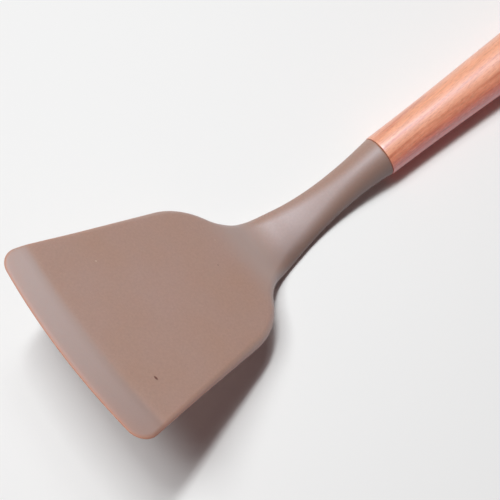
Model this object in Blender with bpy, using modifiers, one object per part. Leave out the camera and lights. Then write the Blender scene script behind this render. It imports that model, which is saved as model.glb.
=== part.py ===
"""A kitchen turner: a silicone head moulded over a nylon core, glued into a turned beech handle.

The turner lies face up, as it does on a worktop. It stands on the flat of its heel and on the
belly of its handle, its blade rises to the front along -X and its handle runs along +X. The origin
is on the table, under the middle of the whole length.
"""
import bisect
import math

import bmesh
import bpy
from mathutils import Matrix, Vector

MM = 0.001

# Blade of the silicone head, seen from above and measured along its middle plane
BLADE_WIDTH = 95.5 * MM
BLADE_LENGTH = 126.0 * MM
BLADE_TILT = math.radians(33.6)
SIDE_TAPER = math.radians(7.5)
CORNER_RADIUS = 8.4 * MM
FRONT_BOW = 4.2 * MM
BOW_REACH = 40.0 * MM

# Blade thickness and its sharpened front
FRONT_THICKNESS = 3.6 * MM
HEEL_THICKNESS = 7.6 * MM
BEVEL_LENGTH = 12.5 * MM
EDGE_THICKNESS = 1.1 * MM

# Roundings of the top edges at the front, the shoulders and the neck, then of the bottom edges
RIM_ROUND = 1.6 * MM
SHOULDER_ROUND = 4.0 * MM
NECK_ROUND = 6.5 * MM
HEEL_TO_DOME = 10.0 * MM
UNDER_ROUND = 1.2 * MM
NECK_UNDER_ROUND = 4.0 * MM

# Shoulders and neck, as corners of the outline and the radii that round them
SHOULDER_TO_ROOT = 13.3 * MM
SHOULDER_RADIUS = 30.8 * MM
ROOT_TO_HEEL = 20.1 * MM
ROOT_HALF_WIDTH = 17.5 * MM
ROOT_RADIUS = 23.8 * MM
HEEL_TO_WAIST = 30.8 * MM
WAIST_HALF_WIDTH = 6.25 * MM
WAIST_RADIUS = 158.0 * MM

# Heel and neck, seen from the side
BEND_RADIUS = 30.0 * MM
HEEL_FLAT = 4.0 * MM
NECK_LENGTH = 58.1 * MM
NECK_SWELL = 1.7
SEAM_RADIUS = 9.7 * MM
SEAM_CLEARANCE = 1.45 * MM

# Nylon core inside the head: how far it stays behind the bevel and inside the silicone
CORE_SETBACK = 5.4 * MM
CORE_MARGIN = 7.0 * MM
CORE_CORNER = 6.0 * MM
BLADE_SKIN = 1.1 * MM
NECK_SKIN = 2.0 * MM
LOCK_HOLE_RADIUS = 3.5 * MM
LOCK_HOLE_RIM = 4.5 * MM
LOCK_HOLE_PITCH = 18.0 * MM
LOCK_ROW_PITCH = 20.0 * MM

# Tang of the core and the glue around it
TANG_RADIUS = 5.0 * MM
TANG_LENGTH = 38.0 * MM
TANG_CHAMFER = 1.0 * MM
GROOVE_DEPTH = 0.8 * MM
GROOVE_WIDTH = 3.0 * MM
GROOVE_WALL = 0.3 * MM
GROOVE_PITCH = 9.0 * MM
GLUE_THICKNESS = 0.7 * MM

# Turned handle
HANDLE_STEP = 0.25 * MM
HANDLE_LENGTH = 186.0 * MM
BELLY_RADIUS = 12.6 * MM
BELLY_TO_END = 58.0 * MM
BUTT_RADIUS = 11.2 * MM
BUTT_DOME = 9.0 * MM
FRONT_CHAMFER = 0.35 * MM
HANG_HOLE_RADIUS = 4.0 * MM
HANG_HOLE_TO_END = 14.0 * MM

# Gap that neighbouring pieces keep
GAP = 0.3 * MM

# Fineness of the meshes: points over a section's top and round its corners, then rings
HEAD_STEPS = 19
CORE_STEPS = 11
CORNER_STEPS = 12
TURN_SHARE = 0.6
ARC_STEPS = 6
NECK_STEPS = 12
RING_SPACING = 0.75 * MM
FINE_SPACING = 0.1 * MM
HANDLE_SIDES = 40
GLUE_SIDES = 24
LOCK_HOLE_SIDES = 12
HANG_HOLE_SIDES = 32
SHARP_ANGLE = math.radians(40.0)
TOUCHING = 0.001 * MM

# Places that follow from the sizes above, measured along the middle of the part
HEEL = BLADE_LENGTH
SEAM = HEEL + NECK_LENGTH
SHOULDER = HEEL - ROOT_TO_HEEL - SHOULDER_TO_ROOT
CORE_FRONT = BEVEL_LENGTH + CORE_SETBACK
SEAM_HEIGHT = SEAM_RADIUS + SEAM_CLEARANCE
BELLY = HANDLE_LENGTH - BELLY_TO_END
DOME = HANDLE_LENGTH - BUTT_DOME


def clear_scene():
    """Remove every object, so that the script starts from an empty scene."""
    for item in list(bpy.data.objects):
        bpy.data.objects.remove(item, do_unlink=True)


def make_material(name, colour, roughness):
    """Principled material of one colour."""
    material = bpy.data.materials.new(name)
    material.use_nodes = True
    shader = material.node_tree.nodes["Principled BSDF"]
    shader.inputs["Base Color"].default_value = (*colour, 1.0)
    shader.inputs["Roughness"].default_value = roughness
    shader.inputs["Metallic"].default_value = 0.0
    return material


def silicone_material():
    """Matt taupe silicone rubber."""
    return make_material("taupe_silicone", (0.37, 0.25, 0.21), 0.55)


def nylon_material():
    """Black glass-filled nylon."""
    return make_material("black_nylon", (0.03, 0.03, 0.03), 0.45)


def glue_material():
    """Amber cured epoxy."""
    return make_material("cured_epoxy", (0.62, 0.45, 0.22), 0.30)


def beech_material():
    """Oiled steamed beech, pink to orange."""
    return make_material("oiled_beech", (0.78, 0.38, 0.22), 0.38)


def smooth_step(t):
    """Ease from 0 to 1, level at both ends."""
    t = min(max(t, 0.0), 1.0)
    return t * t * (3.0 - 2.0 * t)


def fitted_radii(points, radii):
    """Radii for the inner corners, cut down where two roundings would meet on a leg."""
    turns = []
    for before, here, after in zip(points, points[1:], points[2:]):
        turns.append((here - before).angle_signed(after - here))
    tangents = [radius * math.tan(abs(turn) / 2.0) for radius, turn in zip(radii, turns)]
    legs = [(b - a).length for a, b in zip(points, points[1:])]
    share = [1.0] * len(radii)
    for i, leg in enumerate(legs):
        ends = [k for k in (i - 1, i) if 0 <= k < len(radii)]
        used = sum(tangents[k] for k in ends)
        for k in ends:
            share[k] = min(share[k], leg / used if used > leg else 1.0)
    return [radius * part for radius, part in zip(radii, share)], turns


def rounded_path(points, radii):
    """Points of a polyline whose inner corners are rounded by arcs."""
    radii, turns = fitted_radii(points, radii)
    path = [points[0].copy()]
    for i, (radius, turn) in enumerate(zip(radii, turns)):
        corner = points[i + 1]
        heading = (corner - points[i]).normalized()
        tangent = radius * math.tan(abs(turn) / 2.0)
        start = corner - heading * tangent
        side = Vector((heading.y, -heading.x)) * (1.0 if turn > 0.0 else -1.0)
        centre = start + side * radius
        for k in range(ARC_STEPS + 1):
            path.append(centre + Matrix.Rotation(-turn * k / ARC_STEPS, 2) @ (start - centre))
    path.append(points[-1].copy())
    apart = [b for a, b in zip(path, path[1:]) if (b - a).length > TOUCHING]
    return path[:1] + apart


def head_outline():
    """Half of the head's outline: distance from the front edge, and half width there."""
    corners = [
        Vector((0.0, BLADE_WIDTH / 2.0)),
        Vector((SHOULDER, BLADE_WIDTH / 2.0 - SHOULDER * math.tan(SIDE_TAPER))),
        Vector((HEEL - ROOT_TO_HEEL, ROOT_HALF_WIDTH)),
        Vector((HEEL + HEEL_TO_WAIST, WAIST_HALF_WIDTH)),
        Vector((SEAM, SEAM_RADIUS)),
    ]
    return rounded_path(corners, [SHOULDER_RADIUS, ROOT_RADIUS, WAIST_RADIUS])


OUTLINE = head_outline()


def side_width(along):
    """Half width of the head, with its front corners still square."""
    k = bisect.bisect([point.x for point in OUTLINE], along)
    k = min(max(k, 1), len(OUTLINE) - 1)
    a, b = OUTLINE[k - 1], OUTLINE[k]
    return a.y + (b.y - a.y) * (along - a.x) / (b.x - a.x)


def corner_cut(into, radius):
    """Width that a rounded corner takes off one side, at a distance in from its end."""
    rest = max(radius - max(into, 0.0), 0.0)
    return radius - math.sqrt(radius * radius - rest * rest)


def handle_radius(out):
    """Radius of the handle, at a distance from the seam towards the butt."""
    front = SEAM_RADIUS + HANDLE_STEP
    if out <= BELLY:
        return front + (BELLY_RADIUS - front) * math.sin(math.pi / 2.0 * out / BELLY) ** 2
    if out <= DOME:
        return BELLY_RADIUS + (BUTT_RADIUS - BELLY_RADIUS) * smooth_step((out - BELLY) / (DOME - BELLY))
    part = min((out - DOME) / BUTT_DOME, 1.0)
    return BUTT_RADIUS * math.sqrt(1.0 - part * part)


def handle_slope():
    """Rise of the handle's axis along its length that lays its belly on the table."""
    samples = 200
    outs = [HANDLE_LENGTH * (k + 1) / samples for k in range(samples)]
    return max((handle_radius(out) - SEAM_HEIGHT) / out for out in outs)


SLOPE = handle_slope()


def spine(along):
    """Middle line of the head: its point and its upward normal, in the XZ plane."""
    lift = HEEL_THICKNESS / 2.0
    arc = BEND_RADIUS * BLADE_TILT
    if along <= HEEL:
        turn = min((HEEL - along) / BEND_RADIUS, BLADE_TILT)
        straight = max(HEEL - along - arc, 0.0)
        x = -BEND_RADIUS * math.sin(turn) - straight * math.cos(BLADE_TILT)
        z = lift + BEND_RADIUS * (1.0 - math.cos(turn)) + straight * math.sin(BLADE_TILT)
        return Vector((x, 0.0, z)), Vector((math.sin(turn), 0.0, math.cos(turn)))
    if along <= HEEL + HEEL_FLAT:
        return Vector((along - HEEL, 0.0, lift)), Vector((0.0, 0.0, 1.0))
    run = NECK_LENGTH - HEEL_FLAT
    t = min((along - HEEL - HEEL_FLAT) / run, 1.0)
    rise = SEAM_HEIGHT - lift
    end = SLOPE * run
    z = lift + rise * t * t * (3.0 - 2.0 * t) + end * t * t * (t - 1.0)
    climb = (rise * 6.0 * t * (1.0 - t) + end * t * (3.0 * t - 2.0)) / run
    beyond = max(along - SEAM, 0.0)
    point = Vector((along - HEEL, 0.0, z + beyond * SLOPE))
    return point, Vector((-climb, 0.0, 1.0)).normalized()


def neck_part(along):
    """How far along the neck a station is, from 0 at the heel's flat to 1 at the seam."""
    return min(max((along - HEEL - HEEL_FLAT) / (NECK_LENGTH - HEEL_FLAT), 0.0), 1.0)


def half_thickness(along):
    """Half thickness of the head, before the front is sharpened."""
    front, heel = FRONT_THICKNESS / 2.0, HEEL_THICKNESS / 2.0
    if along <= HEEL:
        return front + (heel - front) * max(along, 0.0) / HEEL
    return heel + (SEAM_RADIUS - heel) * neck_part(along) ** NECK_SWELL


def bow(along, across):
    """How far a point lies behind the middle of a bowed front edge."""
    reach = max(1.0 - along / BOW_REACH, 0.0)
    return FRONT_BOW * (across / (BLADE_WIDTH / 2.0)) ** 2 * reach


def mix(a, b, part):
    """Value between two others."""
    return a + (b - a) * part


def side_slope(along):
    """How much wider than one across the head's outline is, where it runs aslant."""
    step = 2.0 * MM
    slope = (side_width(along + step) - side_width(along - step)) / (2.0 * step)
    return math.sqrt(1.0 + slope * slope)


def edge_rounds(along):
    """Radii that round the head's top and bottom edges, square to its outline."""
    root = HEEL - ROOT_TO_HEEL
    neck = smooth_step((along - root) / (ROOT_TO_HEEL + HEEL_TO_DOME))
    tail = min(max((along - HEEL - HEEL_TO_DOME) / (NECK_LENGTH - HEEL_TO_DOME), 0.0), 1.0)
    blade = mix(RIM_ROUND, SHOULDER_ROUND, min(max(along / SHOULDER, 0.0), 1.0))
    top = mix(mix(blade, NECK_ROUND, neck), SEAM_RADIUS, tail)
    under = mix(mix(UNDER_ROUND, NECK_UNDER_ROUND, neck), SEAM_RADIUS, smooth_step(tail))
    return top, under


def arch(half_width, height, round_across, round_up, count):
    """Points over one side of a section, from wall to wall, closest where it turns."""
    line = [(half_width, 0.0)]
    for k in range(CORNER_STEPS + 1):
        angle = math.pi / 2.0 * k / CORNER_STEPS
        across = half_width - round_across * (1.0 - math.cos(angle))
        line.append((across, height - round_up * (1.0 - math.sin(angle))))
    line.append((0.0, height))
    lengths = [0.0]
    for a, b in zip(line, line[1:]):
        lengths.append(lengths[-1] + math.dist(a, b))
    turns = [0.0] + [k / CORNER_STEPS for k in range(CORNER_STEPS + 1)] + [1.0]
    marks = [mix(run / lengths[-1], turn, TURN_SHARE) for run, turn in zip(lengths, turns)]
    points = []
    for k in range(count):
        place = (2.0 * k + 1.0) / count
        side = 1.0 if place <= 1.0 else -1.0
        mark = min(place, 2.0 - place)
        i = bisect.bisect_left(marks, mark)
        part = (mark - marks[i - 1]) / (marks[i] - marks[i - 1])
        points.append((side * mix(line[i - 1][0], line[i][0], part), mix(line[i - 1][1], line[i][1], part)))
    return points


def section(half_width, depth, rounds, widen, count):
    """Section with rounded edges, as (across, up) points from the right side over the top."""
    top, under = rounds
    under = min(under, depth)
    rise = min(top, 2.0 * depth - under)
    middle = (under - rise) / 2.0
    over = arch(half_width, depth - middle, min(top * widen, half_width), rise, count)
    below = arch(half_width, depth + middle, min(under * widen, half_width), under, count)
    points = [(across, middle + height) for across, height in over]
    return points + [(across, middle - height) for across, height in reversed(below)]


def place_section(along, points):
    """Ring of points in space, square to the spine and bowed like the front edge."""
    centre, up = spine(along)
    forward = Vector((up.z, 0.0, -up.x))
    ring = []
    for across, height in points:
        ring.append(centre + Vector((0.0, across, 0.0)) + up * height + forward * bow(along, across))
    return ring


def blade_faces(along, across):
    """Middle of the head's thickness over the spine, and half of it, front bevel included."""
    place = along + bow(along, across)
    under, top = -half_thickness(place), half_thickness(place)
    if along < BEVEL_LENGTH:
        lip = -half_thickness(bow(0.0, across)) + EDGE_THICKNESS
        crease = half_thickness(BEVEL_LENGTH + bow(BEVEL_LENGTH, across))
        top = lip + (crease - lip) * along / BEVEL_LENGTH
    nose = EDGE_THICKNESS / 2.0
    least_fill = 0.2
    fill = math.sqrt(1.0 - max(1.0 - along / nose, 0.0) ** 2)
    return (top + under) / 2.0, (top - under) / 2.0 * max(fill, least_fill)


def head_ring(along):
    """One ring of the silicone head's outer surface."""
    half_width = side_width(along) - corner_cut(along, CORNER_RADIUS)
    _, depth = blade_faces(along, 0.0)
    outline = section(half_width, depth, edge_rounds(along), side_slope(along), HEAD_STEPS)
    points = []
    for across, height in outline:
        middle, half = blade_faces(along, across)
        points.append((across, middle + height * half / depth))
    return place_section(along, points)


def head_stations():
    """Distances from the front edge at which the head's rings stand."""
    nose = EDGE_THICKNESS / 2.0
    stations = [nose * 0.3, nose, BEVEL_LENGTH, BEVEL_LENGTH * 2.0, BOW_REACH]
    stations += [CORNER_RADIUS * (1.0 - math.cos(math.pi / 8.0 * k)) for k in range(1, 5)]
    stations += [point.x for point in OUTLINE]
    arc = BEND_RADIUS * BLADE_TILT
    stations += [HEEL - arc * (1.0 - k / ARC_STEPS) for k in range(ARC_STEPS)]
    neck = NECK_LENGTH - HEEL_FLAT
    stations += [HEEL + HEEL_FLAT + neck * k / NECK_STEPS for k in range(NECK_STEPS)]
    return thin_out(stations, 0.0, SEAM)


def thin_out(stations, first, last):
    """Stations in order from first to last, without those that crowd another; the heel's stay."""
    kept = sorted([first, last] + [place for place in (HEEL, HEEL + HEEL_FLAT) if first < place < last])
    for station in sorted(stations):
        least = FINE_SPACING if station < EDGE_THICKNESS else RING_SPACING
        if first < station < last and min(abs(station - other) for other in kept) > least:
            kept.append(station)
    return sorted(kept)


def loft(name, rings, collection):
    """Closed solid through rings of equal count, with each end faced from side to side."""
    mesh = bmesh.new()
    rows = [[mesh.verts.new(point) for point in ring] for ring in rings]
    count = len(rows[0])
    for near, far in zip(rows, rows[1:]):
        for k in range(count):
            following = (k + 1) % count
            mesh.faces.new((near[k], near[following], far[following], far[k]))
    for end in (rows[0], rows[-1]):
        for k in range(count // 2 - 1):
            mesh.faces.new((end[k], end[k + 1], end[count - 2 - k], end[count - 1 - k]))
    bmesh.ops.recalc_face_normals(mesh, faces=mesh.faces)
    return mesh_object(name, mesh, collection)


def mesh_object(name, mesh, collection):
    """Object that holds a finished bmesh."""
    data = bpy.data.meshes.new(name)
    mesh.to_mesh(data)
    mesh.free()
    item = bpy.data.objects.new(name, data)
    collection.objects.link(item)
    return item


def hide_cutter(item):
    """Show a cutting shape as a wire only."""
    item.hide_render = True
    item.display_type = "WIRE"
    return item


def cut(item, cutter, name):
    """Take the cutter's shape out of an object."""
    modifier = item.modifiers.new(name, "BOOLEAN")
    modifier.operation = "DIFFERENCE"
    modifier.solver = "EXACT"
    modifier.object = cutter


def finish(item, material):
    """Give a piece its material and smooth shading with its edges kept."""
    item.data.materials.append(material)
    item.data.shade_smooth()
    item.data.set_sharp_from_angle(angle=SHARP_ANGLE)


def core_ring(along, grow):
    """One ring of the core's web and neck, or of its cavity when grow is the gap."""
    blend = smooth_step((along - SHOULDER) / (HEEL - SHOULDER))
    margin = mix(CORE_MARGIN, NECK_SKIN, blend)
    skin = mix(BLADE_SKIN, NECK_SKIN, blend)
    widen = side_slope(along)
    into = along - CORE_FRONT + grow
    half_width = side_width(along) - margin - corner_cut(into, CORE_CORNER) + grow * widen
    depth = half_thickness(along) - skin + grow
    rounds = [max(size - skin + grow, depth / 2.0) for size in edge_rounds(along)]
    return place_section(along, section(half_width, depth, rounds, widen, CORE_STEPS))


def core_stations(grow):
    """Distances from the front edge at which the core's rings stand, as far as the seam."""
    first = CORE_FRONT - grow
    stations = [first + CORE_CORNER * (1.0 - math.cos(math.pi / 6.0 * k)) for k in range(1, 4)]
    stations += [station for station in head_stations() if station > first + CORE_CORNER]
    return thin_out(stations, first, SEAM)


def tang_profile(grow):
    """Profile of the tang from its first groove to its tip, as distance from the seam and radius."""
    outer = TANG_RADIUS + grow
    end = TANG_LENGTH - TANG_CHAMFER
    profile = []
    centre = GROOVE_PITCH
    while centre + GROOVE_WIDTH / 2.0 < end:
        near = centre - GROOVE_WIDTH / 2.0 + grow
        far = centre + GROOVE_WIDTH / 2.0 - grow
        profile += [(near, outer), (near + GROOVE_WALL, outer - GROOVE_DEPTH)]
        profile += [(far - GROOVE_WALL, outer - GROOVE_DEPTH), (far, outer)]
        centre += GROOVE_PITCH
    profile.append((end + grow, outer))
    profile.append((TANG_LENGTH + grow, outer - TANG_CHAMFER))
    return profile


def axis_point(out):
    """Point on the handle's axis, at a distance from the seam."""
    seam, _ = spine(SEAM)
    return seam + Vector((1.0, 0.0, SLOPE)).normalized() * out


def tang_ring(out, radius):
    """Round ring of the tang, square to the handle's axis."""
    up = Vector((-SLOPE, 0.0, 1.0)).normalized()
    ring = []
    for across, height in section(radius, radius, (radius, radius), 1.0, CORE_STEPS):
        ring.append(axis_point(out) + Vector((0.0, across, 0.0)) + up * height)
    return ring


def lock_hole_places():
    """Places of the holes through the core's web: distance from the front edge, and across."""
    edge = LOCK_HOLE_RADIUS + LOCK_HOLE_RIM
    last = HEEL - BEND_RADIUS * BLADE_TILT - edge
    along = CORE_FRONT + edge
    places = []
    while along < last:
        room = side_width(along) - CORE_MARGIN - edge
        reach = int(max(room, 0.0) / LOCK_HOLE_PITCH)
        places += [(along, k * LOCK_HOLE_PITCH) for k in range(-reach, reach + 1)]
        along += LOCK_ROW_PITCH
    return places


def lock_hole_cutter(name, radius, collection):
    """All the pins that pierce the core's web, as one cutting shape."""
    depth = HEEL_THICKNESS * 2.0
    mesh = bmesh.new()
    for along, across in lock_hole_places():
        centre, up = spine(along)
        turn = Vector((0.0, 0.0, 1.0)).rotation_difference(up).to_matrix().to_4x4()
        place = Matrix.Translation(centre + Vector((0.0, across, 0.0))) @ turn
        bmesh.ops.create_cone(mesh, cap_ends=True, segments=LOCK_HOLE_SIDES, radius1=radius,
                              radius2=radius, depth=depth, matrix=place)
    return hide_cutter(mesh_object(name, mesh, collection))


def build_core(parts, cutters):
    """Nylon core: a pierced web in the blade, a body in the neck and a grooved tang."""
    rings = [core_ring(along, 0.0) for along in core_stations(0.0)]
    rings.append(tang_ring(0.0, TANG_RADIUS))
    rings += [tang_ring(out, radius) for out, radius in tang_profile(0.0)]
    core = loft("inner_core", rings, parts)
    cut(core, lock_hole_cutter("lock_holes", LOCK_HOLE_RADIUS, cutters), "lock_holes")
    finish(core, nylon_material())
    return core


def core_cavity(cutters):
    """Space for the core in the silicone: the core grown by the gap and run out of the end."""
    rings = [core_ring(along, GAP) for along in core_stations(GAP)]
    run_out = axis_point(SEAM_RADIUS) - axis_point(0.0)
    rings.append([point + run_out for point in rings[-1]])
    cavity = hide_cutter(loft("core_cavity", rings, cutters))
    cut(cavity, lock_hole_cutter("lock_pins", LOCK_HOLE_RADIUS - GAP, cutters), "lock_pins")
    return cavity


def build_head(parts, cutters):
    """Silicone head: blade, shoulders and neck in one skin over the core."""
    head = loft("silicone_head", [head_ring(along) for along in head_stations()], parts)
    cut(head, core_cavity(cutters), "core_cavity")
    finish(head, silicone_material())
    return head


def turned(name, profile, sides, collection):
    """Solid turned about the handle's axis from (radius, distance from the seam) points."""
    mesh = bmesh.new()
    verts = [mesh.verts.new((radius, 0.0, out)) for radius, out in profile]
    for a, b in zip(verts, verts[1:]):
        mesh.edges.new((a, b))
    item = mesh_object(name, mesh, collection)
    screw = item.modifiers.new("turn", "SCREW")
    screw.axis = "Z"
    screw.steps = sides
    screw.render_steps = sides
    screw.use_merge_vertices = True
    screw.merge_threshold = 0.00001
    item.location = axis_point(0.0)
    item.rotation_euler = (0.0, math.pi / 2.0 - math.atan(SLOPE), 0.0)
    return item


def bore_radius():
    """Radius of the handle's bore: the tang, its glue and a gap on each side of the glue."""
    return TANG_RADIUS + GAP + GLUE_THICKNESS + GAP


def bore_depth():
    """Depth of the handle's bore, measured from the seam."""
    return TANG_LENGTH + GAP + GLUE_THICKNESS + GAP


def build_glue(parts):
    """Cured glue: a cup round the tang that fills its grooves."""
    outer, end, mouth = bore_radius() - GAP, bore_depth() - GAP, 2.0 * GAP
    inner = [(radius, out) for out, radius in tang_profile(GAP)]
    profile = [(0.0, end), (outer, end), (outer, mouth), (TANG_RADIUS + GAP, mouth)]
    profile += inner + [(0.0, inner[-1][1])]
    glue = turned("tang_adhesive", profile, GLUE_SIDES, parts)
    finish(glue, glue_material())
    return glue


def handle_profile():
    """Handle from the middle of its butt, down its side and up its bore."""
    dome_steps, tail_steps, body_steps = 6, 4, 12
    front = GAP + FRONT_CHAMFER
    outs = [DOME + BUTT_DOME * math.cos(math.pi / 2.0 * k / dome_steps) for k in range(dome_steps)]
    outs += [DOME + (BELLY - DOME) * k / tail_steps for k in range(tail_steps)]
    outs += [BELLY + (front - BELLY) * k / body_steps for k in range(body_steps + 1)]
    profile = [(handle_radius(out), out) for out in outs]
    profile.append((handle_radius(GAP) - FRONT_CHAMFER, GAP))
    profile += [(bore_radius(), GAP), (bore_radius(), bore_depth()), (0.0, bore_depth())]
    return profile


def hang_hole_cutter(cutters):
    """Upright pin for the hole near the butt."""
    depth = BELLY_RADIUS * 4.0
    mesh = bmesh.new()
    bmesh.ops.create_cone(mesh, cap_ends=True, segments=HANG_HOLE_SIDES, radius1=HANG_HOLE_RADIUS,
                          radius2=HANG_HOLE_RADIUS, depth=depth)
    pin = mesh_object("hang_hole_pin", mesh, cutters)
    pin.location = axis_point(HANDLE_LENGTH - HANG_HOLE_TO_END)
    return hide_cutter(pin)


def build_handle(parts, cutters):
    """Beech handle, turned, bored for the tang and pierced near its butt."""
    handle = turned("handle", handle_profile(), HANDLE_SIDES, parts)
    cut(handle, hang_hole_cutter(cutters), "hang_hole")
    finish(handle, beech_material())
    return handle


def world_reach(item):
    """Least and greatest X of an object as the viewport shows it."""
    graph = bpy.context.evaluated_depsgraph_get()
    shown = item.evaluated_get(graph)
    xs = [(shown.matrix_world @ vertex.co).x for vertex in shown.data.vertices]
    return min(xs), max(xs)


def centre_length(pieces, everything):
    """Move all objects along X, so that the pieces reach equally far to both sides."""
    bpy.context.view_layer.update()
    reaches = [world_reach(piece) for piece in pieces]
    middle = (min(low for low, _ in reaches) + max(high for _, high in reaches)) / 2.0
    for item in everything:
        item.location.x -= middle
    bpy.context.view_layer.update()


def new_collection(name):
    """Collection linked to the scene."""
    collection = bpy.data.collections.new(name)
    bpy.context.scene.collection.children.link(collection)
    return collection


def main():
    """Build the turner."""
    clear_scene()
    parts = new_collection("silicone_turner")
    cutters = new_collection("cutters")
    pieces = [
        build_head(parts, cutters),
        build_core(parts, cutters),
        build_glue(parts),
        build_handle(parts, cutters),
    ]
    centre_length(pieces, list(parts.objects) + list(cutters.objects))


main()
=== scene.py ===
"""Looks of a kitchen turner: a silicone blade and neck on a turned beech handle.

The turner lies face up on a pale table, on the flat of its heel and the belly of its handle. Lengths
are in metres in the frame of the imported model: +X runs from the blade to the butt and +Z is up.
"""

import logging
import math
from dataclasses import dataclass
from enum import Enum
from typing import Any

import bmesh
import bpy
import numpy as np
from mathutils import Matrix, Vector

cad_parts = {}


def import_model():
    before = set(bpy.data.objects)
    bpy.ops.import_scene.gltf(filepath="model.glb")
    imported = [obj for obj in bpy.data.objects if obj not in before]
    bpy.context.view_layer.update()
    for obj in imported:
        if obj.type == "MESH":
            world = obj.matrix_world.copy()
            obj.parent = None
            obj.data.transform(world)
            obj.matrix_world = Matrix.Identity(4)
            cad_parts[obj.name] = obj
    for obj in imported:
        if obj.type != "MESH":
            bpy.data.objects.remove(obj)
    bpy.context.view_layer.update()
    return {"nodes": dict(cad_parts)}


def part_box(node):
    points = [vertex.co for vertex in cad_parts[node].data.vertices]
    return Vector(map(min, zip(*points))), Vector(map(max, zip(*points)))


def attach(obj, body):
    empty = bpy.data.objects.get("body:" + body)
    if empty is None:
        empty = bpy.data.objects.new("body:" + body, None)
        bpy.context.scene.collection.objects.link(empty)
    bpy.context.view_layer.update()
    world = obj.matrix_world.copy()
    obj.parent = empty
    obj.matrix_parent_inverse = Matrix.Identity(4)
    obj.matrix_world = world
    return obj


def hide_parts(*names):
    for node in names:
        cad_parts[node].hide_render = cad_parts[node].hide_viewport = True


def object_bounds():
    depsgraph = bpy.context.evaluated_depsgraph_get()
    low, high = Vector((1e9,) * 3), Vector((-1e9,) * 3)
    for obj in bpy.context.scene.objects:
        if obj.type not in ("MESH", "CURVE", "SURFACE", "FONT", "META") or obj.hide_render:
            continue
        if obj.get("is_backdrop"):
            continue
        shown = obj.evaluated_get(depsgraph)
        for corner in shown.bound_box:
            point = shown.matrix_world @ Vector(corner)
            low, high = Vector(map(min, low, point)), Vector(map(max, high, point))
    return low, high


LOG = logging.getLogger("turner")
MM = 0.001
BODY = "root"
PAINTED_GLOW_LAYER = "painted_rim_glow"
PAINTED_SHEEN_LAYER = "painted_sheen"
PAINTED_SHADE_LAYER = "painted_shade_skin"
# Most values of a noise texture lie between these
NOISE_LOW = 0.3
NOISE_HIGH = 0.7


class Node(Enum):
    """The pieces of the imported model."""

    HEAD = "silicone_head"
    CORE = "inner_core"
    GLUE = "tang_adhesive"
    HANDLE = "handle"


class Slot(Enum):
    """Names of the record's silicone and beech material slots, which nothing in this script uses."""

    SILICONE = "silicone"
    BEECH = "beech"


def linear(hex_colour: str) -> tuple[float, float, float, float]:
    """Turn an sRGB hex colour into the linear colour that a shader takes.

    Args:
        hex_colour: Six hex digits.

    Returns:
        Linear red, green and blue, and an alpha of 1.
    """
    parts = [int(hex_colour[k:k + 2], 16) / 255.0 for k in (0, 2, 4)]
    red, green, blue = [
        part / 12.92 if part <= 0.04045 else ((part + 0.055) / 1.055) ** 2.4 for part in parts
    ]
    return red, green, blue, 1.0


def pick(sockets: Any, key: str | int) -> bpy.types.NodeSocket:
    """Pick a socket of a node.

    Args:
        sockets: The node's inputs or outputs.
        key: The socket's place, or its name. An empty name stands for any.

    Returns:
        The socket at the place, or the first enabled one of the name.
    """
    if isinstance(key, int):
        return sockets[key]
    return next(socket for socket in sockets if socket.enabled and key in ("", socket.name))


def add_node(
    tree: bpy.types.NodeTree,
    kind: str,
    settings: dict[str | int, Any] | None = None,
    links: dict[str | int, bpy.types.NodeSocket] | None = None,
    output: str = "",
) -> bpy.types.NodeSocket:
    """Add a node with its settings and links.

    Args:
        tree: Node tree that gets the node.
        kind: Type of the node.
        settings: Values of the node's properties, or of its inputs by name or place.
        links: Sockets that feed the node's inputs, by the input's name or place.
        output: Name of the output to hand back; without one it is the first.

    Returns:
        One of the node's output sockets.
    """
    node = tree.nodes.new(kind)
    for key, value in (settings or {}).items():
        if isinstance(key, str) and hasattr(node, key):
            setattr(node, key, value)
        else:
            pick(node.inputs, key).default_value = value
    for key, socket in (links or {}).items():
        tree.links.new(socket, pick(node.inputs, key))
    return pick(node.outputs, output)


def new_material(
    name: str,
    settings: dict[str, Any],
) -> tuple[bpy.types.Material, bpy.types.NodeTree, bpy.types.Node]:
    """Make a material with nodes.

    Args:
        name: Name of the material.
        settings: Values of its shader's own inputs.

    Returns:
        The material, its node tree and its Principled shader.
    """
    material = bpy.data.materials.new(name)
    material.use_nodes = True
    tree = material.node_tree
    shader = tree.nodes["Principled BSDF"]
    for key, value in settings.items():
        shader.inputs[key].default_value = value
    return material, tree, shader


def ease(value: Any) -> Any:
    """Rise from 0 to 1, level at both ends."""
    part = np.clip(value, 0.0, 1.0)
    return part * part * (3.0 - 2.0 * part)


def between(low: Any, high: Any, part: Any) -> Any:
    """Value between two others."""
    return low + (high - low) * part


def rounding_loss(inside: Any, reach: Any) -> Any:
    """Find how much of a rounding's height is gone, at a distance in from the edge.

    Args:
        inside: Distance in from the edge.
        reach: Distance at which the rounding ends.

    Returns:
        1 at the edge, and 0 from the rounding's end on.
    """
    rest = np.clip(1.0 - inside / reach, 0.0, 1.0)
    return 1.0 - np.sqrt(1.0 - rest * rest)


def new_piece(name: str, points: np.ndarray, faces: list[tuple[int, ...]]) -> bpy.types.Object:
    """Make a smooth-shaded object from points and faces.

    Args:
        name: Name of the object.
        points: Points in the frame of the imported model, one row each.
        faces: Corners of each face.

    Returns:
        The object, linked to the scene.
    """
    mesh = bpy.data.meshes.new(name)
    mesh.from_pydata(points.tolist(), [], faces)
    work = bmesh.new()
    work.from_mesh(mesh)
    bmesh.ops.recalc_face_normals(work, faces=work.faces)
    work.to_mesh(mesh)
    work.free()
    mesh.shade_smooth()
    piece = bpy.data.objects.new(name, mesh)
    bpy.context.scene.collection.objects.link(piece)
    return piece


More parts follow.
